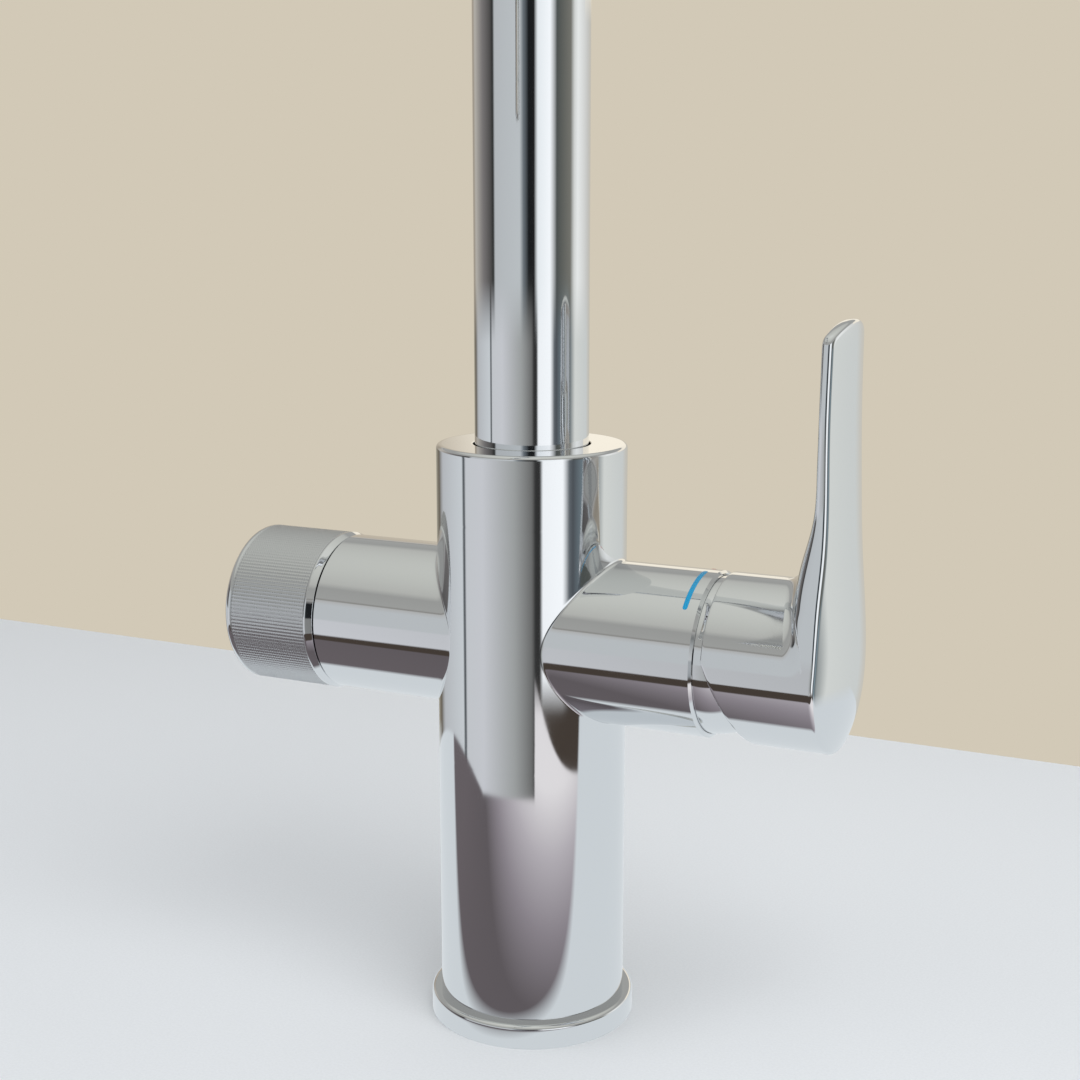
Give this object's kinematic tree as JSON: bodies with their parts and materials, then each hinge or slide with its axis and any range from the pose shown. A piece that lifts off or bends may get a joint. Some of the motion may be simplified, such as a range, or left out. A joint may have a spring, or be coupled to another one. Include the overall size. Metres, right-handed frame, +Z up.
{
  "type": "water filter kitchen tap",
  "caption": "Three-way kitchen tap: round column with two arms, upright mixer lever, knurled filtered-water knob and a swan-neck spout with a separate inner tube.",
  "frame": {"origin": "centre of the deck seat, under the base ring", "axes": "+Z up along the column, +X along the mixer arm to the lever, the spout reaches out to -Y, where the user stands"},
  "size_m": [0.1647, 0.248, 0.434],
  "materials": {
    "chrome": "bright chrome plate on brass",
    "satin_chrome": "satin chrome plate, finely knurled round the knob",
    "brass": "bare machined brass",
    "steel": "machined stainless steel",
    "rubber": "matt black rubber",
    "plastic": "moulded acetal",
    "ceramic": "lapped alumina ceramic"
  },
  "bodies": {
    "body": {"tap_body": "chrome", "base_ring": "chrome", "base_seal": "rubber", "mounting_shank": "brass", "clamp_gasket": "rubber", "clamp_washer": "steel", "clamp_nut": "brass", "swivel_stop_screw": "steel", "mixer_port_seals": "rubber", "mixer_base": "plastic", "mixer_fixed_disc": "ceramic", "mixer_housing": "plastic", "mixer_ring_nut": "brass", "mixer_dome": "chrome", "filter_seat_seal": "rubber", "filter_valve_body": "brass", "filter_body_seal": "rubber", "filter_fixed_disc": "ceramic"},
    "spout": {"spout_foot": "brass", "spout_slide_rings": "plastic", "spout_o_rings": "rubber", "spout_tube": "chrome", "inner_tube": "plastic", "inner_tube_seal": "rubber", "outlet_ring": "chrome", "outlet_seal": "rubber", "aerator_housing": "plastic", "aerator_insert": "plastic", "filter_nozzle": "plastic"},
    "rotor": {"mixer_rotor": "plastic", "pivot_pin": "steel"},
    "lever": {"lever": "chrome", "lever_spindle": "steel", "lever_screw": "steel", "lever_plug": "chrome"},
    "disc": {"mixer_disc_carrier": "plastic", "mixer_moving_disc": "ceramic"},
    "knob": {"knob": "satin_chrome", "knob_insert": "plastic", "knob_screw": "steel", "knob_cap": "satin_chrome", "filter_spindle": "brass", "filter_moving_disc": "ceramic", "spindle_o_rings": "rubber", "spindle_clip": "steel"}
  },
  "joints": [
    {"name": "spout_swivel", "type": "hinge", "parent": "body", "child": "spout", "pos_m": [0, 0, 0.13], "axis": [0, 0, 1], "range_deg": [-75, 75]},
    {"name": "lever_temperature", "type": "hinge", "parent": "body", "child": "rotor", "pos_m": [0.05, 0, 0.1], "axis": [1, 0, 0], "range_deg": [-45, 45]},
    {"name": "lever_flow", "type": "hinge", "parent": "rotor", "child": "lever", "pos_m": [0.05, 0, 0.1], "axis": [0, 1, 0], "range_deg": [0, 25]},
    {"name": "disc_slide", "type": "slide", "parent": "rotor", "child": "disc", "axis": [0, 0, 1], "range_m": [0, 0.0039]},
    {"name": "knob_turn", "type": "hinge", "parent": "body", "child": "knob", "pos_m": [-0.06, 0, 0.1], "axis": [-1, 0, 0], "range_deg": [0, 90]}
  ],
  "couplings": [
    {"joint": "disc_slide", "follows": "lever_flow", "m_per_rad": 0.00893}
  ]
}
